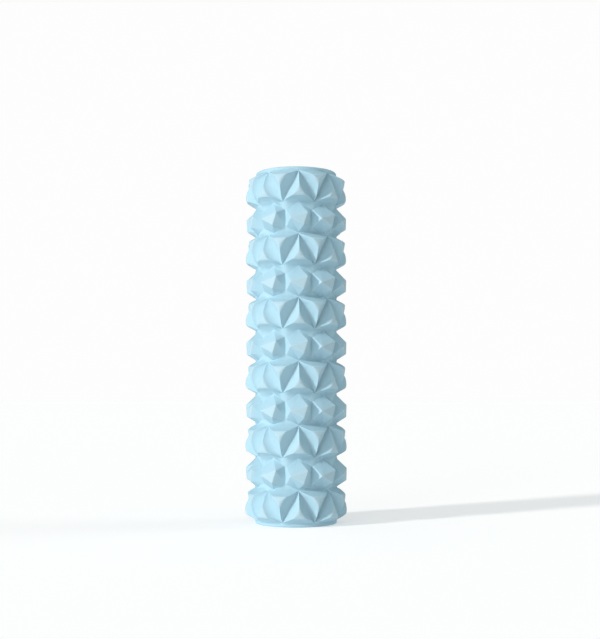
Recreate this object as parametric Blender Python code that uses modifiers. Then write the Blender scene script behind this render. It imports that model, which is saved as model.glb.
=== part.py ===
"""A textured foam massage roller, standing on its end.

A moulded foam sleeve carries eleven rows of faceted relief and is bonded to a
stiff hollow core tube. A trim ring pressed into each end of the tube covers its
cut edge. Metres, +Z up, floor at z = 0, the roller's axis on Z.
Azimuth is in degrees, 0 towards -Y (the front), growing towards +X.
"""

import math

import bmesh
import bpy

# Sleeve, outside
HEIGHT = 0.450
PEAK_RADIUS = 0.065  # tops of the relief
VALLEY_RADIUS = 0.052  # the rings between rows, the deep lines, and the end collars
COLLAR_HEIGHT = 0.005  # smooth band at each end
COLLAR_ROUND = 0.002
ROW_COUNT = 11
ROW_PITCH = (HEIGHT - 2 * COLLAR_HEIGHT) / ROW_COUNT
PATTERN_AZIMUTH = 3.6  # in every row a pad's point or a knob's middle is here

# Eight pads that point up and ten knobs go round, and a ring of 80 points serves both.
RING_POINTS = 80
RING_STEP = 360 / RING_POINTS
PAD_COUNT = 8
PAD_SPAN = RING_POINTS // PAD_COUNT
KNOB_COUNT = 10
KNOB_SPAN = RING_POINTS // KNOB_COUNT

# Star rows: blunt three-sided pads, pointing up and down in turn. A slanted V groove parts
# each pad from the next, and the pad's ridges run down to the ends of its grooves.
# A pad is laid out on the unrolled middle radius of the relief: metres across from the
# pad's middle line, metres from its base towards its point, and radius.
LAYOUT_RADIUS = (PEAK_RADIUS + VALLEY_RADIUS) / 2
GROOVE_STEPS = 6
PAD_POINT_RIDGE = (0.0, 0.0325, 0.0585)
PAD_TIP = (0.0, 0.0220, 0.0630)
PAD_RIM = (0.0034, 0.0140, 0.0640)
PAD_CORNER = (0.0080, 0.0065, 0.0637)
PAD_FOOT_RIDGE = (0.0158, 0.0033, 0.0585)
PAD_CROWN = (0.0, 0.0125, PEAK_RADIUS)

# Knob rows: a six-sided foot, and a tilted triangular facet on top. Each corner is a turn
# from the knob's middle, a share of the row down from its upper ring, and a radius.
KNOB_FOOT = [
    (0.0, 0.055, 0.0525),
    (16.7, 0.250, 0.0537),
    (16.7, 0.790, 0.0537),
    (0.0, 0.945, 0.0525),
    (-16.7, 0.790, 0.0537),
    (-16.7, 0.250, 0.0537),
]
KNOB_FACET = [(9.6, 0.373, PEAK_RADIUS), (5.1, 0.750, PEAK_RADIUS), (-9.8, 0.542, PEAK_RADIUS)]

# Core tube and trim rings
FIT_GAP = 0.0003  # glue line round the tube, and clearance round the rings
CORE_RADIUS = 0.042
CORE_WALL = 0.004
CORE_CHAMFER = 0.0005
RING_RECESS = 0.0008  # the foam stands on the floor, not the ring
RING_FLANGE = 0.002
RING_FLANGE_RADIUS = 0.0455
RING_DEPTH = 0.015
RING_WALL = 0.0025
RING_EDGE = 0.0006
CORE_END = RING_RECESS + RING_FLANGE + FIT_GAP
TURN_STEPS = 64

FOAM_BLUE = (0.42, 0.70, 0.84)
CORE_WHITE = (0.80, 0.82, 0.83)
TRIM_BLUE = (0.30, 0.55, 0.70)


def polar(radius, azimuth, height):
    angle = math.radians(azimuth)
    return (radius * math.sin(angle), -radius * math.cos(angle), height)


def clear_scene():
    for thing in list(bpy.data.objects):
        bpy.data.objects.remove(thing, do_unlink=True)


def material(name, colour, roughness):
    made = bpy.data.materials.new(name)
    made.use_nodes = True
    shader = made.node_tree.nodes["Principled BSDF"]
    shader.inputs["Base Color"].default_value = (*colour, 1)
    shader.inputs["Roughness"].default_value = roughness
    shader.inputs["Metallic"].default_value = 0.0
    return made


def add_object(name, mesh, look, collection):
    mesh.materials.append(look)
    made = bpy.data.objects.new(name, mesh)
    collection.objects.link(made)
    return made


def ring_azimuth(step):
    return PATTERN_AZIMUTH + step * RING_STEP


def add_ring(skin, radius, height):
    """The points of one ring, in order of azimuth from the pattern's start."""
    return [
        skin.verts.new(polar(radius, ring_azimuth(step), height)) for step in range(RING_POINTS)
    ]


def stretch(ring, first, last):
    """The ring's points from one step to another, in either direction."""
    way = 1 if last > first else -1
    return [ring[step % RING_POINTS] for step in range(first, last + way, way)]


def join_rings(skin, outline):
    """Smooth walls from each ring of the outline to the next."""
    for upper, lower in zip(outline, outline[1:]):
        for step in range(RING_POINTS):
            after = (step + 1) % RING_POINTS
            wall = skin.faces.new((upper[step], lower[step], lower[after], upper[after]))
            wall.smooth = True


def fan(skin, middle, rim):
    for first, second in zip(rim, rim[1:]):
        skin.faces.new((middle, first, second))


def add_laid_out(skin, radius, middle_azimuth, across, height):
    azimuth = middle_azimuth + math.degrees(across / LAYOUT_RADIUS)
    return skin.verts.new(polar(radius, azimuth, height))


def groove_line(skin, upper, lower, heights, start, lean):
    """Deep line of a slanted groove, from the upper ring to the lower, leaning left or right."""
    top, bottom = heights
    reach = lean * math.radians(PAD_SPAN / 2 * RING_STEP) * LAYOUT_RADIUS
    line = [upper[start % RING_POINTS]]
    for step in range(1, GROOVE_STEPS):
        share = step / GROOVE_STEPS
        height = top + (bottom - top) * share
        line.append(add_laid_out(skin, VALLEY_RADIUS, ring_azimuth(start), reach * share, height))
    line.append(lower[(start + lean * PAD_SPAN // 2) % RING_POINTS])
    return line


def add_groove_wall(skin, deep, rim):
    """Faces between two lines of points that start and end together."""
    skin.faces.new((deep[0], deep[1], rim[1]))
    for step in range(1, len(deep) - 2):
        skin.faces.new((deep[step], deep[step + 1], rim[step + 1], rim[step]))
    skin.faces.new((deep[-2], deep[-1], rim[-2]))


def add_pad(skin, point, base, left, right, place):
    """One pad. `base` runs anticlockwise, and `left` and `right` run down from its point."""
    azimuth, base_height, facing = place

    def corner(spot, side=1):
        across, rise, radius = spot
        height = base_height + facing * rise
        return add_laid_out(skin, radius, azimuth, side * facing * across, height)

    crown, tip, point_ridge = (corner(spot) for spot in (PAD_CROWN, PAD_TIP, PAD_POINT_RIDGE))
    sides = (PAD_RIM, PAD_CORNER, PAD_FOOT_RIDGE)
    left_rim, left_corner, left_foot = (corner(spot, -1) for spot in sides)
    right_rim, right_corner, right_foot = (corner(spot, 1) for spot in sides)

    down = (point, point_ridge, tip, left_rim, left_corner, left_foot, base[0])
    up = (base[-1], right_foot, right_corner, right_rim, tip, point_ridge, point)
    add_groove_wall(skin, left, down)
    add_groove_wall(skin, right[::-1], up)

    fan(skin, crown, (tip, left_rim, left_corner, right_corner, right_rim, tip))

    middle = len(base) // 2
    near = middle // 2
    far = len(base) - 1 - near
    fan(skin, left_foot, [*base[: near + 1], left_corner])
    fan(skin, left_corner, [*base[near : middle + 1], right_corner])
    fan(skin, right_corner, base[middle : far + 1])
    fan(skin, right_foot, [right_corner, *base[far:]])


def add_star_row(skin, upper, lower, heights):
    """Eight pads pointing up and eight pointing down between two valley rings."""
    top, bottom = heights
    half = PAD_SPAN // 2
    starts = [pad * PAD_SPAN for pad in range(PAD_COUNT)]
    leaning_left, leaning_right = (
        [groove_line(skin, upper, lower, heights, start, lean) for start in starts]
        for lean in (-1, 1)
    )
    for pad, start in enumerate(starts):
        left, right = leaning_left[pad], leaning_right[pad]
        under = stretch(lower, start - half, start + half)
        add_pad(skin, upper[start], under, left, right, (ring_azimuth(start), bottom, 1))
        following = leaning_left[(pad + 1) % PAD_COUNT]
        over = stretch(upper, start + PAD_SPAN, start)
        place = (ring_azimuth(start + half), top, -1)
        add_pad(skin, right[-1], over, following[::-1], right[::-1], place)


def add_knob_row(skin, upper, lower, heights):
    """Ten knobs between two valley rings, all turned the same way."""
    top, bottom = heights

    def corners(middle, spots):
        return [
            skin.verts.new(polar(radius, middle + turn, top + (bottom - top) * share))
            for turn, share, radius in spots
        ]

    starts = [knob * KNOB_SPAN for knob in range(KNOB_COUNT)]
    feet = [corners(ring_azimuth(start), KNOB_FOOT) for start in starts]
    for knob, start in enumerate(starts):
        crest, high, low, base, low_left, high_left = feet[knob]
        right, under, left = corners(ring_azimuth(start), KNOB_FACET)
        skin.faces.new((right, left, under))
        fan(skin, right, (under, low, high, crest, left))
        fan(skin, under, (left, base, low))
        fan(skin, left, (crest, high_left, low_left, base))

        next_crest, _, _, next_base, next_low, next_high = feet[(knob + 1) % KNOB_COUNT]
        halfway, end = start + KNOB_SPAN // 2, start + KNOB_SPAN
        fan(skin, next_high, (next_crest, *stretch(upper, end, halfway)))
        fan(skin, high, (next_high, *stretch(upper, halfway, start), crest))
        skin.faces.new((high, low, next_low, next_high))
        fan(skin, low, (base, *stretch(lower, start, halfway), next_low))
        fan(skin, next_low, (*stretch(lower, halfway, end), next_base))


def sleeve_end():
    """From the bore, over the end face, to the collar: radius, and depth from the end."""
    slope = COLLAR_ROUND * (1 - math.sqrt(0.5))
    return (
        (CORE_RADIUS + FIT_GAP, CORE_END),
        (RING_FLANGE_RADIUS + FIT_GAP, CORE_END),
        (RING_FLANGE_RADIUS + FIT_GAP, 0.0),
        (VALLEY_RADIUS - COLLAR_ROUND, 0.0),
        (VALLEY_RADIUS - slope, slope),
        (VALLEY_RADIUS, COLLAR_ROUND),
    )


def sleeve_mesh():
    skin = bmesh.new()
    upper_end = [add_ring(skin, radius, HEIGHT - depth) for radius, depth in sleeve_end()]
    lower_end = [add_ring(skin, radius, depth) for radius, depth in sleeve_end()]
    levels = [HEIGHT - COLLAR_HEIGHT - row * ROW_PITCH for row in range(ROW_COUNT + 1)]
    valleys = [add_ring(skin, VALLEY_RADIUS, level) for level in levels]
    join_rings(skin, [*upper_end, valleys[0]])
    join_rings(skin, [valleys[-1], *reversed(lower_end), upper_end[0]])
    for row in range(ROW_COUNT):
        add_row = add_knob_row if row % 2 else add_star_row
        add_row(skin, valleys[row], valleys[row + 1], (levels[row], levels[row + 1]))
    mesh = bpy.data.meshes.new("foam_sleeve")
    skin.to_mesh(mesh)
    skin.free()
    return mesh


def add_turned(name, profile, look, collection):
    """A round piece: the closed profile, running down its outer side, turned about Z."""
    mesh = bpy.data.meshes.new(name)
    edges = [(spot, (spot + 1) % len(profile)) for spot in range(len(profile))]
    mesh.from_pydata([(radius, 0, height) for radius, height in profile], edges, [])
    made = add_object(name, mesh, look, collection)
    screw = made.modifiers.new("turn", "SCREW")
    screw.steps = TURN_STEPS
    screw.render_steps = TURN_STEPS
    screw.use_merge_vertices = True
    screw.merge_threshold = 0.00001
    screw.use_smooth_shade = True
    return made


def core_profile():
    outer = CORE_RADIUS
    inner = CORE_RADIUS - CORE_WALL
    low = CORE_END
    high = HEIGHT - CORE_END
    cut = CORE_CHAMFER
    return [
        (outer - cut, high),
        (outer, high - cut),
        (outer, low + cut),
        (outer - cut, low),
        (inner + cut, low),
        (inner, low + cut),
        (inner, high - cut),
        (inner + cut, high),
    ]


def trim_ring_section():
    """A flange over the tube's end and a spigot inside the tube: radius, depth from the end."""
    spigot = CORE_RADIUS - CORE_WALL - FIT_GAP
    bore = spigot - RING_WALL
    back = RING_RECESS + RING_FLANGE
    end = RING_RECESS + RING_DEPTH
    return [
        (RING_FLANGE_RADIUS - RING_EDGE, RING_RECESS),
        (RING_FLANGE_RADIUS, RING_RECESS + RING_EDGE),
        (RING_FLANGE_RADIUS, back),
        (spigot, back),
        (spigot, end - 2 * RING_EDGE),
        (spigot - RING_EDGE, end),
        (bore, end),
        (bore, RING_RECESS + 2 * RING_EDGE),
        (bore + 2 * RING_EDGE, RING_RECESS),
    ]


def main():
    clear_scene()
    roller = bpy.data.collections.new("foam_roller")
    bpy.context.scene.collection.children.link(roller)
    add_object("foam_sleeve", sleeve_mesh(), material("foam", FOAM_BLUE, 0.85), roller)
    core_look = material("core_plastic", CORE_WHITE, 0.45)
    add_turned("core_tube", core_profile(), core_look, roller)
    section = trim_ring_section()
    top = [(radius, HEIGHT - depth) for radius, depth in section]
    bottom = section[::-1]
    add_turned("end_ring_top", top, material("top_ring_plastic", TRIM_BLUE, 0.4), roller)
    add_turned("end_ring_bottom", bottom, material("bottom_ring_plastic", TRIM_BLUE, 0.4), roller)


main()
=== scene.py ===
"""Looks for the textured foam massage roller: a finely moulded foam sleeve over a
hollow core tube, with a trim ring in each end, standing on a pale studio floor.

Metres, +Z up, the roller's axis on Z. Azimuth is in degrees, 0 towards -Y (the
front, where the camera is), growing towards +X.
"""

import math

import bmesh
import bpy
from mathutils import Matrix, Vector


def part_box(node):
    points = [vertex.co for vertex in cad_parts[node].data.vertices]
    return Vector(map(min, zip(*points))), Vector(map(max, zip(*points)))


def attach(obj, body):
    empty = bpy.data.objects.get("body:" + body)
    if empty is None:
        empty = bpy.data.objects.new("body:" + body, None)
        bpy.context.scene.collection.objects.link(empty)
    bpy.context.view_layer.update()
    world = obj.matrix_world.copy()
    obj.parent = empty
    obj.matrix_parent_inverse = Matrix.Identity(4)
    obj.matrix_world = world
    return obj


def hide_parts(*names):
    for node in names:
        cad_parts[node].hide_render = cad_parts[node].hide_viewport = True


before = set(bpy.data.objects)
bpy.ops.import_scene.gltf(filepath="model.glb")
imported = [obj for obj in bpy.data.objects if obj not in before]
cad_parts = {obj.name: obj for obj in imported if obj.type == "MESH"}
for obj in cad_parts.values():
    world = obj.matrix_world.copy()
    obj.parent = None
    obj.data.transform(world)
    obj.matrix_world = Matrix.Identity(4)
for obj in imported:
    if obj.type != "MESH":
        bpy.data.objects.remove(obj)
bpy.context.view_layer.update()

# Sleeve, outside. The heights and the bore come from the CAD nodes.
SLEEVE_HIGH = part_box("foam_sleeve")[1]
CORE_LOW, CORE_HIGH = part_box("core_tube")
RING_LOW, RING_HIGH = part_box("end_ring_top")
HEIGHT = SLEEVE_HIGH.z
PEAK_RADIUS = 0.065
VALLEY_RADIUS = 0.052
COLLAR_HEIGHT = 0.005
COLLAR_ROUND = 0.002
ROW_COUNT = 11
ROW_PITCH = (HEIGHT - 2 * COLLAR_HEIGHT) / ROW_COUNT
PATTERN_AZIMUTH = 3.6

RING_POINTS = 160
RING_STEP = 360 / RING_POINTS
PAD_COUNT = 8
PAD_SPAN = RING_POINTS // PAD_COUNT
KNOB_COUNT = 10
KNOB_SPAN = RING_POINTS // KNOB_COUNT

# Star rows. A pad's outline is laid out flat: metres across from its middle line, metres
# from its base towards its point, and radius.
LAYOUT_RADIUS = (PEAK_RADIUS + VALLEY_RADIUS) / 2
PAD_RIDGE = [(0.0, 0.0400, 0.0520), (0.0, 0.0325, 0.0585), (0.0, 0.0220, 0.0630)]
PAD_RIM = [(0.0034, 0.0140, 0.0640), (0.0080, 0.0065, 0.0637)]
PAD_FOOT = [(0.0158, 0.0033, 0.0585), (math.pi / PAD_COUNT * LAYOUT_RADIUS, 0.0, 0.0520)]
PAD_CROWN = (0.0, 0.0125, PEAK_RADIUS)
RIM_SUBSTEPS = 3
DOME_SHARES = (0.35, 0.7)

# Knob rows. A corner is a turn from the knob's middle, a share of the row down from its
# upper ring, and a radius.
KNOB_FOOT = [
    (0.0, 0.055, 0.0525),
    (16.7, 0.250, 0.0537),
    (16.7, 0.790, 0.0537),
    (0.0, 0.945, 0.0525),
    (-16.7, 0.790, 0.0537),
    (-16.7, 0.250, 0.0537),
]
KNOB_FACET = [(9.6, 0.373, PEAK_RADIUS), (5.1, 0.750, PEAK_RADIUS), (-9.8, 0.542, PEAK_RADIUS)]

# Rounded edges of the moulded foam: full width, and shares of it
EDGE_WIDTH = 0.0014
EDGE_SEGMENTS = 3
RIM_WEIGHT = 0.6
FOOT_EDGE_WEIGHT = 1.0
KNOB_WEIGHT = 0.5
KNOB_WALL_WEIGHT = 0.3
RIDGE_TAPER = 0.012
CREASE_ANGLE = math.radians(14)  # a deep line that bends more than this stays crisp
CREASE_FULL = math.radians(60)
ROUND_STEPS = 4
ARC_STEPS = 8

# Core tube and trim rings
FIT_GAP = 0.0003
LIP_ROUND = 0.0006
CORE_WALL = 0.004
CORE_ROUND = 0.0006
RING_WALL = 0.0025
RING_ROUND = 0.0006
RING_FUNNEL = 0.0012

FOAM_SHADES = ((0.315, 0.500, 0.592), (0.333, 0.515, 0.606), (0.305, 0.485, 0.577))
FOAM_FACE_SHEEN = (0.350, 0.495, 0.563)  # painted sheen on the outer faces
FACE_RADII = (0.0618, 0.0640)
# Painted highlight along the rounded edges
FOAM_EDGE_HIGHLIGHT = (0.50, 0.66, 0.73)
# Painted light along the deep lines: a slightly lighter, bluer foam colour
FOAM_CREASE_LIGHT = (0.330, 0.525, 0.620)
CORE_SHADES = ((0.78, 0.80, 0.81), (0.84, 0.86, 0.87))
TRIM_SHADES = ((0.20, 0.45, 0.64), (0.22, 0.48, 0.67))
TRIM_EDGE = (0.42, 0.64, 0.78)

# The floor has a little light of its own, which keeps it white in the picture
FLOOR_SIZE = 30
FLOOR_GREY = 0.68
FLOOR_ROUGHNESS = 0.9
FLOOR_GLOW = 0.375

# Lights. A sun is azimuth, elevation and spread in degrees, and strength.
BACKDROP = 0.985
KEY_COLOUR = (1.0, 0.968, 0.958)
FILL_COLOUR = (0.95, 1.0, 1.0)
KEY_LIGHT = (-57, 19, 6, 0.92)
FRONT_FILL = (-25, 5, 30, 0.354)
BACK_LIGHT = (100, 25, 30, 0.186)
# A soft box is azimuth, elevation, focus (0 is the same from every side) and strength.
EVEN_LIGHT = (0, 90, 0, 0.26)
OVERHEAD_LIGHT = (0, 90, 3, 0.6)

CAMERA_LENS = 62.93
CAMERA_SENSOR = 36
CAMERA_SHIFT = 0.0061
CAMERA_PLACE = (0, -1.44, 0.1693)
CAMERA_TILT = 93.607  # degrees, where 90 is level


def polar(radius, azimuth, height):
    angle = math.radians(azimuth)
    return Vector((radius * math.sin(angle), -radius * math.cos(angle), height))


def ring_azimuth(step):
    return PATTERN_AZIMUTH + step * RING_STEP


def mix(first, second, share):
    return tuple(a + (b - a) * share for a, b in zip(first, second))


def smooth_line(points, substeps):
    """A smooth line through the points, with its ends kept: a Catmull-Rom spline."""
    line = []
    for spot in range(len(points) - 1):
        before = points[max(spot - 1, 0)]
        start, end = points[spot], points[spot + 1]
        after = points[min(spot + 2, len(points) - 1)]
        for step in range(substeps):
            t = step / substeps
            line.append(
                tuple(
                    0.5
                    * (
                        2 * b
                        + (c - a) * t
                        + (2 * a - 5 * b + 4 * c - d) * t * t
                        + (3 * b - a - 3 * c + d) * t * t * t
                    )
                    for a, b, c, d in zip(before, start, end, after)
                )
            )
    return [*line, points[-1]]


class Skin:
    """The sleeve's surface while it is being built, with a rounding weight on its edges."""

    def __init__(self):
        self.mesh = bmesh.new()
        self.weights = []

    def point(self, position):
        return self.mesh.verts.new(position)

    def laid_out(self, spot, place, side=1):
        """A pad's point, from its flat layout."""
        across, rise, radius = spot
        azimuth, base_height, facing = place
        turn = math.degrees(side * facing * across / LAYOUT_RADIUS)
        return self.point(polar(radius, azimuth + turn, base_height + facing * rise))

    def face(self, *corners):
        made = self.mesh.faces.new(corners)
        made.smooth = True

    def fan(self, middle, rim):
        for first, second in zip(rim, rim[1:]):
            self.face(middle, first, second)

    def strip(self, line, beside):
        """Faces between two lines of points, which may share their first or last point."""
        for a, b, c, d in zip(line, line[1:], beside[1:], beside):
            corners = []
            for corner in (a, b, c, d):
                if corner not in corners:
                    corners.append(corner)
            if len(corners) > 2:
                self.face(*corners)

    def round_edge(self, first, second, weight):
        self.weights.append((first, second, weight))

    def round_line(self, line, weight):
        for first, second in zip(line, line[1:]):
            self.round_edge(first, second, weight)

    def ring(self, radius, height):
        return [
            self.point(polar(radius, ring_azimuth(step), height)) for step in range(RING_POINTS)
        ]

    def join_rings(self, outline):
        for upper, lower in zip(outline, outline[1:]):
            self.strip([*lower, lower[0]], [*upper, upper[0]])


def stretch(ring, first, last):
    way = 1 if last > first else -1
    return [ring[step % RING_POINTS] for step in range(first, last + way, way)]


def groove_line(skin, upper, lower, heights, start, lean, steps):
    """Deep line of a slanted groove, from the upper ring to the lower, leaning left or right."""
    top, bottom = heights
    reach = lean * PAD_FOOT[-1][0]
    line = [upper[start % RING_POINTS]]
    for step in range(1, steps):
        share = step / steps
        azimuth = ring_azimuth(start) + math.degrees(reach * share / LAYOUT_RADIUS)
        line.append(skin.point(polar(VALLEY_RADIUS, azimuth, top + (bottom - top) * share)))
    line.append(lower[(start + lean * PAD_SPAN // 2) % RING_POINTS])
    return line


def add_pad(skin, point, base, left, right, place):
    """One pad. `base` runs anticlockwise, and `left` and `right` run down from its point."""
    ridge = smooth_line(PAD_RIDGE, RIM_SUBSTEPS)
    rim = smooth_line([PAD_RIDGE[-1], *PAD_RIM], RIM_SUBSTEPS)
    foot = smooth_line([PAD_RIM[-1], *PAD_FOOT], RIM_SUBSTEPS)

    ridge_points = [point, *(skin.laid_out(spot, place) for spot in ridge[1:])]
    tip = ridge_points[-1]
    rims, feet = [], []
    for side, end in ((-1, base[0]), (1, base[-1])):
        rims.append([tip, *(skin.laid_out(spot, place, side) for spot in rim[1:])])
        corner = rims[-1][-1]
        feet.append([corner, *(skin.laid_out(spot, place, side) for spot in foot[1:-1]), end])

    left_side = [*ridge_points, *rims[0][1:], *feet[0][1:]]
    right_side = [*ridge_points, *rims[1][1:], *feet[1][1:]]
    skin.strip(left, left_side)
    skin.strip(right_side, right)

    edge_count = len(base) - 1 - 2 * (len(feet[0]) - 1)
    edge_spots = [
        (PAD_RIM[-1][0] * (2 * step / edge_count - 1), *PAD_RIM[-1][1:])
        for step in range(1, edge_count)
    ]
    lower_edge = [rims[0][-1], *(skin.laid_out(spot, place) for spot in edge_spots), rims[1][-1]]
    skin.strip(base, [*feet[0][::-1], *lower_edge[1:-1], *feet[1]])

    outline = [*rims[0], *lower_edge[1:-1], *rims[1][:0:-1]]
    spots = [
        *[(-across, rise, radius) for across, rise, radius in rim],
        *edge_spots,
        *rim[:0:-1],
    ]
    crown = skin.laid_out(PAD_CROWN, place)
    inner = None
    for share in DOME_SHARES:
        row = [skin.laid_out((*mix(PAD_CROWN, spot, share)[:2],
                              PAD_CROWN[2] + (spot[2] - PAD_CROWN[2]) * share**2), place)
               for spot in spots]
        if inner is None:
            skin.fan(crown, [*row, row[0]])
        else:
            skin.strip([*row, row[0]], [*inner, inner[0]])
        inner = row
    skin.strip([*outline, outline[0]], [*inner, inner[0]])

    for line in (ridge_points, feet[0][::-1], feet[1][::-1]):
        run = 0.0
        for first, second in zip(line, line[1:]):
            run += (second.co - first.co).length
            skin.round_edge(first, second, RIM_WEIGHT * min(1, run / RIDGE_TAPER))
    for line in rims:
        skin.round_line(line, RIM_WEIGHT)
    skin.round_line(lower_edge, FOOT_EDGE_WEIGHT)


def add_star_row(skin, upper, lower, heights):
    """Eight pads pointing up and eight pointing down between two valley rings."""
    top, bottom = heights
    half = PAD_SPAN // 2
    steps = RIM_SUBSTEPS * (len(PAD_RIDGE) + len(PAD_RIM) + len(PAD_FOOT) - 1)
    starts = [pad * PAD_SPAN for pad in range(PAD_COUNT)]
    leaning_left, leaning_right = (
        [groove_line(skin, upper, lower, heights, start, lean, steps) for start in starts]
        for lean in (-1, 1)
    )
    for pad, start in enumerate(starts):
        left, right = leaning_left[pad], leaning_right[pad]
        under = stretch(lower, start - half, start + half)
        add_pad(skin, upper[start], under, left, right, (ring_azimuth(start), bottom, 1))
        following = leaning_left[(pad + 1) % PAD_COUNT]
        over = stretch(upper, start + PAD_SPAN, start)
        place = (ring_azimuth(start + half), top, -1)
        add_pad(skin, right[-1], over, following[::-1], right[::-1], place)


def add_knob_row(skin, upper, lower, heights):
    """Ten knobs between two valley rings, all turned the same way."""
    top, bottom = heights

    def corners(middle, spots):
        return [
            skin.point(polar(radius, middle + turn, top + (bottom - top) * share))
            for turn, share, radius in spots
        ]

    starts = [knob * KNOB_SPAN for knob in range(KNOB_COUNT)]
    feet = [corners(ring_azimuth(start), KNOB_FOOT) for start in starts]
    for knob, start in enumerate(starts):
        crest, high, low, base, low_left, high_left = feet[knob]
        right, under, left = corners(ring_azimuth(start), KNOB_FACET)
        skin.face(right, left, under)
        around = (
            (right, (under, low, high, crest, left)),
            (under, (left, base, low)),
            (left, (crest, high_left, low_left, base)),
        )
        for corner, rim in around:
            skin.fan(corner, rim)
            for end in rim:
                on_facet = end in (right, under, left)
                skin.round_edge(corner, end, KNOB_WEIGHT if on_facet else KNOB_WALL_WEIGHT)

        next_crest, _, _, next_base, next_low, next_high = feet[(knob + 1) % KNOB_COUNT]
        halfway, end = start + KNOB_SPAN // 2, start + KNOB_SPAN
        skin.fan(next_high, (next_crest, *stretch(upper, end, halfway)))
        skin.fan(high, (next_high, *stretch(upper, halfway, start), crest))
        skin.face(high, low, next_low, next_high)
        skin.fan(low, (base, *stretch(lower, start, halfway), next_low))
        skin.fan(next_low, (*stretch(lower, halfway, end), next_base))


def arc(centre, radius, start, end, steps=ARC_STEPS):
    """Points of a circle's arc in a turned profile, between two angles in degrees."""
    points = []
    for step in range(steps + 1):
        angle = math.radians(start + (end - start) * step / steps)
        points.append((centre[0] + radius * math.cos(angle), centre[1] + radius * math.sin(angle)))
    return points


def rounded(corners, radius):
    """A closed profile with each corner cut to a small arc, or less where its sides are short."""
    profile = []
    for spot, corner in enumerate(corners):
        here = Vector(corner)
        before = Vector(corners[spot - 1]) - here
        after = Vector(corners[(spot + 1) % len(corners)]) - here
        reach = min(radius, 0.45 * before.length, 0.45 * after.length)
        start = here + before.normalized() * reach
        end = here + after.normalized() * reach
        for step in range(ROUND_STEPS + 1):
            t = step / ROUND_STEPS
            profile.append(tuple(start * (1 - t) ** 2 + here * 2 * t * (1 - t) + end * t**2))
    return profile


def finish_mesh(skin, name, look):
    """The built surface as an object, with crisp creases and its measure of rounded edges and deep
    lines.
    """
    weight = skin.mesh.edges.layers.float.new("bevel_weight_edge")
    for first, second, value in skin.weights:
        skin.mesh.edges.get((first, second))[weight] = value
    for edge in skin.mesh.edges:
        edge.smooth = edge[weight] > 0 or edge.calc_face_angle() < CREASE_ANGLE
    mesh = bpy.data.meshes.new(name)
    skin.mesh.to_mesh(mesh)
    skin.mesh.free()
    made = bpy.data.objects.new(name, mesh)
    bpy.context.scene.collection.objects.link(made)
    if skin.weights:
        bevel = made.modifiers.new("rounded edges", "BEVEL")
        bevel.limit_method = "WEIGHT"
        bevel.width = EDGE_WIDTH
        bevel.segments = EDGE_SEGMENTS
        bevel.use_clamp_overlap = False
        bevel.material = 1
        mesh.materials.append(look)
        mesh.materials.append(look)
        bpy.context.view_layer.update()
        shaped = made.evaluated_get(bpy.context.evaluated_depsgraph_get())
        made.data = bpy.data.meshes.new_from_object(shaped)
        made.modifiers.clear()
        bpy.data.meshes.remove(mesh)
    made.data.name = name
    measure_edges_and_creases(made.data)
    made.data.materials.clear()
    made.data.materials.append(look)
    weighted = made.modifiers.new("flat facets", "WEIGHTED_NORMAL")
    weighted.keep_sharp = True
    return made


def measure_edges_and_creases(mesh):
    """Stores 1 along the rounded edges, -1 along the deep lines and 0 between them.

    A bevelled edge's own faces carry the second material slot until this is done.
    """
    work = bmesh.new()
    work.from_mesh(mesh)
    edge_crease_measure = work.verts.layers.float.new("edge_crease_measure")
    for vert in work.verts:
        if all(face.material_index == 1 for face in vert.link_faces):
            vert[edge_crease_measure] = 1.0
        else:
            inward = min(edge.calc_face_angle_signed(0.0) for edge in vert.link_edges)
            vert[edge_crease_measure] = max(-1.0, min(0.0, inward / CREASE_FULL))
    for face in work.faces:
        face.material_index = 0
    work.to_mesh(mesh)
    work.free()


def sleeve_end():
    """From the bore, over the end face, to the collar: radius, and depth from the end."""
    bore = CORE_HIGH.x + FIT_GAP
    rebate = RING_HIGH.x + FIT_GAP
    depth = CORE_LOW.z
    lip = arc((rebate + LIP_ROUND, LIP_ROUND), LIP_ROUND, 180, 270)
    shoulder = arc((VALLEY_RADIUS - COLLAR_ROUND, COLLAR_ROUND), COLLAR_ROUND, 270, 360)
    return [(bore, depth), (rebate, depth), *lip, *shoulder]


def sleeve(look):
    skin = Skin()
    upper_end = [skin.ring(radius, HEIGHT - depth) for radius, depth in sleeve_end()]
    lower_end = [skin.ring(radius, depth) for radius, depth in sleeve_end()]
    levels = [HEIGHT - COLLAR_HEIGHT - row * ROW_PITCH for row in range(ROW_COUNT + 1)]
    valleys = [skin.ring(VALLEY_RADIUS, level) for level in levels]
    skin.join_rings([*upper_end, valleys[0]])
    skin.join_rings([valleys[-1], *reversed(lower_end), upper_end[0]])
    for row in range(ROW_COUNT):
        add_row = add_knob_row if row % 2 else add_star_row
        add_row(skin, valleys[row], valleys[row + 1], (levels[row], levels[row + 1]))
    return finish_mesh(skin, "sleeve_foam", look)


def turned(name, profile, look):
    """A round piece: a closed profile, running down its outer side, turned about Z."""
    skin = Skin()
    rings = [skin.ring(radius, height) for radius, height in profile]
    skin.join_rings([*rings, rings[0]])
    return finish_mesh(skin, name, look)


def core_profile():
    outer, high, low = CORE_HIGH.x, CORE_HIGH.z, CORE_LOW.z
    inner = outer - CORE_WALL
    corners = [(outer, high), (outer, low), (inner, low), (inner, high)]
    return rounded(corners, CORE_ROUND)


def trim_ring_section():
    """A flange over the tube's end and a spigot inside the tube: radius, depth from the end."""
    flange = RING_HIGH.x
    recess = HEIGHT - RING_HIGH.z
    end = HEIGHT - RING_LOW.z
    back = CORE_LOW.z - FIT_GAP
    spigot = CORE_HIGH.x - CORE_WALL - FIT_GAP
    bore = spigot - RING_WALL
    return [
        (flange, recess),
        (flange, back),
        (spigot, back),
        (spigot, end),
        (bore, end),
        (bore, recess + RING_FUNNEL),
        (bore + RING_FUNNEL, recess),
    ]


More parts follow.
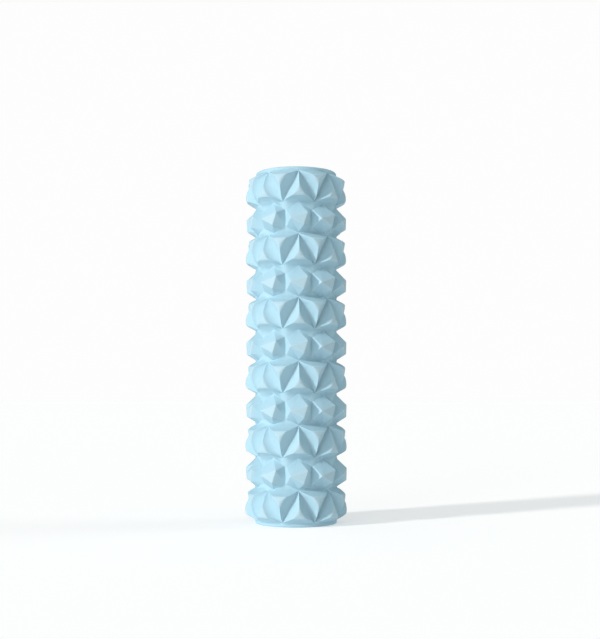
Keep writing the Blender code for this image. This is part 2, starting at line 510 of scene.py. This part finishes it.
class Look:
    """A procedural material under construction, laid out in the piece's own metres."""

    def __init__(self, name):
        self.material = bpy.data.materials.new(name)
        self.material.use_nodes = True
        self.nodes = self.material.node_tree.nodes
        self.links = self.material.node_tree.links
        self.shader = self.nodes["Principled BSDF"]
        self.place = self.nodes.new("ShaderNodeTexCoord").outputs["Object"]

    def link(self, source, target):
        self.links.new(source, target)

    def set(self, **values):
        for name, value in values.items():
            self.shader.inputs[name.replace("_", " ")].default_value = value

    def stretched(self, scale):
        node = self.nodes.new("ShaderNodeMapping")
        node.inputs["Scale"].default_value = scale
        self.link(self.place, node.inputs["Vector"])
        return node.outputs["Vector"]

    def from_axis(self):
        """Distance from the roller's axis, in metres."""
        node = self.nodes.new("ShaderNodeVectorMath")
        node.operation = "LENGTH"
        self.link(self.stretched((1, 1, 0)), node.inputs[0])
        return node.outputs["Value"]

    def noise(self, size, detail=2.0, roughness=0.5, place=None):
        """Soft noise whose features are about this many metres across, from 0 to 1."""
        node = self.nodes.new("ShaderNodeTexNoise")
        node.inputs["Scale"].default_value = 1 / size
        node.inputs["Detail"].default_value = detail
        node.inputs["Roughness"].default_value = roughness
        self.link(place or self.place, node.inputs["Vector"])
        return node.outputs["Fac"]

    def cells(self, size):
        """Rounded cells about this many metres across, 0 at their middles."""
        node = self.nodes.new("ShaderNodeTexVoronoi")
        node.feature = "SMOOTH_F1"
        node.inputs["Scale"].default_value = 1 / size
        self.link(self.place, node.inputs["Vector"])
        return node.outputs["Distance"]

    def attribute(self, name):
        node = self.nodes.new("ShaderNodeAttribute")
        node.attribute_name = name
        return node.outputs["Fac"]

    def span(self, value, low, high, to_low, to_high):
        node = self.nodes.new("ShaderNodeMapRange")
        sockets = ("From Min", "From Max", "To Min", "To Max")
        for socket, number in zip(sockets, (low, high, to_low, to_high)):
            node.inputs[socket].default_value = number
        self.link(value, node.inputs["Value"])
        return node.outputs["Result"]

    def math(self, operation, first, second):
        node = self.nodes.new("ShaderNodeMath")
        node.operation = operation
        for socket, value in zip(node.inputs, (first, second)):
            if isinstance(value, (int, float)):
                socket.default_value = value
            else:
                self.link(value, socket)
        return node.outputs["Value"]

    def blend(self, share, first, second):
        """Colour that goes from the first to the second, each a colour or a socket."""
        node = self.nodes.new("ShaderNodeMix")
        node.data_type = "RGBA"
        self.link(share, node.inputs["Factor"])
        for socket, value in ((node.inputs[6], first), (node.inputs[7], second)):
            if isinstance(value, tuple):
                socket.default_value = (*value, 1)
            else:
                self.link(value, socket)
        return node.outputs[2]

    def bump(self, height, distance, strength=1.0, under=None):
        node = self.nodes.new("ShaderNodeBump")
        node.inputs["Distance"].default_value = distance
        node.inputs["Strength"].default_value = strength
        self.link(height, node.inputs["Height"])
        if under is not None:
            self.link(under, node.inputs["Normal"])
        return node.outputs["Normal"]

    def colour(self, source):
        self.link(source, self.shader.inputs["Base Color"])

    def roughness(self, source):
        self.link(source, self.shader.inputs["Roughness"])

    def normal(self, source):
        self.link(source, self.shader.inputs["Normal"])


def foam_look():
    """Closed-cell foam with a matt moulded skin: faint mottling, fine grain, a painted highlight
    along the rounded edges, painted sheen on the outer faces and painted light along the deep
    lines.
    """
    look = Look("sleeve_foam_skin")
    look.set(Roughness=0.62, Specular_IOR_Level=0.3)
    # 1 along the rounded edges and -1 along the deep lines: where the painted highlight and the
    # painted light go
    edge_crease_measure = look.attribute("edge_crease_measure")
    patches = look.span(look.noise(0.045, 3), 0.3, 0.7, 0, 1)
    mottle = look.span(look.noise(0.0025, 2), 0.3, 0.7, 0, 1)
    body = look.blend(patches, FOAM_SHADES[0], FOAM_SHADES[1])
    body = look.blend(look.math("MULTIPLY", mottle, 0.35), body, FOAM_SHADES[2])
    # Painted sheen: the outer faces blend towards a greyer, paler blue, in patches
    outer = look.span(look.from_axis(), *FACE_RADII, 0, 1)
    rub_and_sheen_patches = look.span(look.noise(0.006, 4, 0.6), 0.3, 0.7, 0.6, 1.0)
    body = look.blend(look.math("MULTIPLY", outer, rub_and_sheen_patches), body, FOAM_FACE_SHEEN)
    # Painted highlight: the rounded edges blend paler, in patches
    highlight_patches = look.span(look.noise(0.004, 4, 0.65), 0.35, 0.65, 0.35, 1.0)
    edge = look.math("MULTIPLY", look.span(edge_crease_measure, 0.15, 1.0, 0, 0.25), highlight_patches)
    body = look.blend(edge, body, FOAM_EDGE_HIGHLIGHT)
    # Painted light: the deep lines blend to a slightly lighter, bluer foam
    body = look.blend(look.span(edge_crease_measure, -0.1, -1.0, 0, 0.35), body, FOAM_CREASE_LIGHT)
    look.colour(body)
    look.roughness(look.span(look.noise(0.006, 3), 0.3, 0.7, 0.58, 0.7))
    grain = look.bump(look.cells(0.0007), 0.00006, 0.5)
    look.normal(look.bump(look.noise(0.0022, 3), 0.00012, 0.5, grain))
    return look.material


def core_look():
    """Extruded white plastic tube: faint streaks along its length and a finer grain all over."""
    look = Look("core_tube_plastic")
    look.set(Roughness=0.42, Specular_IOR_Level=0.45)
    along = look.stretched((1, 1, 0.02))
    streaks = look.noise(0.0015, 3, 0.6, along)
    look.colour(look.blend(look.span(streaks, 0.35, 0.65, 0, 1), CORE_SHADES[0], CORE_SHADES[1]))
    look.roughness(look.span(look.noise(0.008, 3), 0.3, 0.7, 0.36, 0.5))
    fine = look.bump(look.noise(0.0004, 2), 0.00002, 0.4)
    look.normal(look.bump(streaks, 0.00004, 0.6, fine))
    return look.material


def trim_look():
    """Injection-moulded blue plastic: spark-eroded grain, with edges rubbed paler."""
    look = Look("trim_ring_plastic")
    look.set(Roughness=0.4, Specular_IOR_Level=0.5)
    rub_and_sheen_patches = look.math("MULTIPLY", look.span(look.attribute("edge_crease_measure"), 0.1, 1.0, 0, 0.6),
                       look.span(look.noise(0.003, 4, 0.6), 0.35, 0.65, 0.2, 1.0))
    tone = look.span(look.noise(0.02, 3), 0.3, 0.7, 0, 1)
    look.colour(look.blend(rub_and_sheen_patches, look.blend(tone, TRIM_SHADES[0], TRIM_SHADES[1]), TRIM_EDGE))
    look.roughness(look.span(look.noise(0.005, 3), 0.3, 0.7, 0.34, 0.48))
    look.normal(look.bump(look.noise(0.00045, 2), 0.00004, 0.5))
    return look.material


def add_piece(piece, node):
    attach(piece, "root")
    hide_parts(node)
    return piece


foam = add_piece(sleeve(foam_look()), "foam_sleeve")
add_piece(turned("core_plastic_tube", core_profile(), core_look()), "core_tube")
section = rounded(trim_ring_section(), RING_ROUND)
trim = trim_look()
top_section = [(radius, HEIGHT - depth) for radius, depth in section]
add_piece(turned("trim_ring_top", top_section, trim), "end_ring_top")
add_piece(turned("trim_ring_bottom", section[::-1], trim), "end_ring_bottom")

# Floor, light and camera
bpy.ops.mesh.primitive_plane_add(size=FLOOR_SIZE)
floor = bpy.context.object
floor.name = "floor"
floor_look = bpy.data.materials.new("floor")
floor_look.use_nodes = True
floor_shader = floor_look.node_tree.nodes["Principled BSDF"]
floor_shader.inputs["Base Color"].default_value = (FLOOR_GREY, FLOOR_GREY, FLOOR_GREY, 1)
floor_shader.inputs["Roughness"].default_value = FLOOR_ROUGHNESS
floor_shader.inputs["Specular IOR Level"].default_value = 0.0
floor_shader.inputs["Emission Color"].default_value = (1, 1, 1, 1)
floor_shader.inputs["Emission Strength"].default_value = FLOOR_GLOW
floor.data.materials.append(floor_look)


def add_sun(name, azimuth, elevation, spread, strength, colour):
    light = bpy.data.lights.new(name, "SUN")
    light.energy = strength * math.pi
    light.color = colour
    light.angle = math.radians(spread)
    made = bpy.data.objects.new(name, light)
    bpy.context.scene.collection.objects.link(made)
    level = math.radians(elevation)
    towards = polar(math.cos(level), azimuth, math.sin(level))
    made.rotation_euler = towards.to_track_quat("Z", "Y").to_euler()


def studio_world(soft_boxes):
    """White to the camera, and for light a few broad soft boxes: direction, focus, strength."""
    world = bpy.data.worlds.new("studio")
    bpy.context.scene.world = world
    world.use_nodes = True
    nodes, links = world.node_tree.nodes, world.node_tree.links
    lit = nodes["Background"]
    direction = nodes.new("ShaderNodeTexCoord").outputs["Generated"]
    total = None
    for azimuth, elevation, focus, strength in soft_boxes:
        level = math.radians(elevation)
        facing = nodes.new("ShaderNodeVectorMath")
        facing.operation = "DOT_PRODUCT"
        facing.inputs[1].default_value = polar(math.cos(level), azimuth, math.sin(level))
        links.new(direction, facing.inputs[0])
        value = facing.outputs["Value"]
        for operation, number in (("MAXIMUM", 0.0), ("POWER", focus), ("MULTIPLY", strength)):
            step = nodes.new("ShaderNodeMath")
            step.operation = operation
            step.inputs[1].default_value = number
            links.new(value, step.inputs[0])
            value = step.outputs["Value"]
        if total is not None:
            add = nodes.new("ShaderNodeMath")
            links.new(total, add.inputs[0])
            links.new(value, add.inputs[1])
            value = add.outputs["Value"]
        total = value
    links.new(total, lit.inputs["Strength"])
    backdrop = nodes.new("ShaderNodeBackground")
    backdrop.inputs["Color"].default_value = (1, 1, 1, 1)
    backdrop.inputs["Strength"].default_value = BACKDROP
    lit.inputs["Color"].default_value = (*FILL_COLOUR, 1)
    choose = nodes.new("ShaderNodeMixShader")
    links.new(nodes.new("ShaderNodeLightPath").outputs["Is Camera Ray"], choose.inputs["Fac"])
    links.new(lit.outputs["Background"], choose.inputs[1])
    links.new(backdrop.outputs["Background"], choose.inputs[2])
    links.new(choose.outputs["Shader"], nodes["World Output"].inputs["Surface"])


add_sun("key_light", *KEY_LIGHT, KEY_COLOUR)
add_sun("front_fill", *FRONT_FILL, FILL_COLOUR)
add_sun("back_light", *BACK_LIGHT, FILL_COLOUR)
studio_world([EVEN_LIGHT, OVERHEAD_LIGHT])

camera = bpy.data.cameras.new("camera")
camera.lens = CAMERA_LENS
camera.sensor_width = CAMERA_SENSOR
camera.shift_x = CAMERA_SHIFT
camera_object = bpy.data.objects.new("camera", camera)
bpy.context.scene.collection.objects.link(camera_object)
camera_object.location = CAMERA_PLACE
camera_object.rotation_euler = (math.radians(CAMERA_TILT), 0, 0)
bpy.context.scene.camera = camera_object
bpy.context.scene.view_settings.view_transform = "Standard"
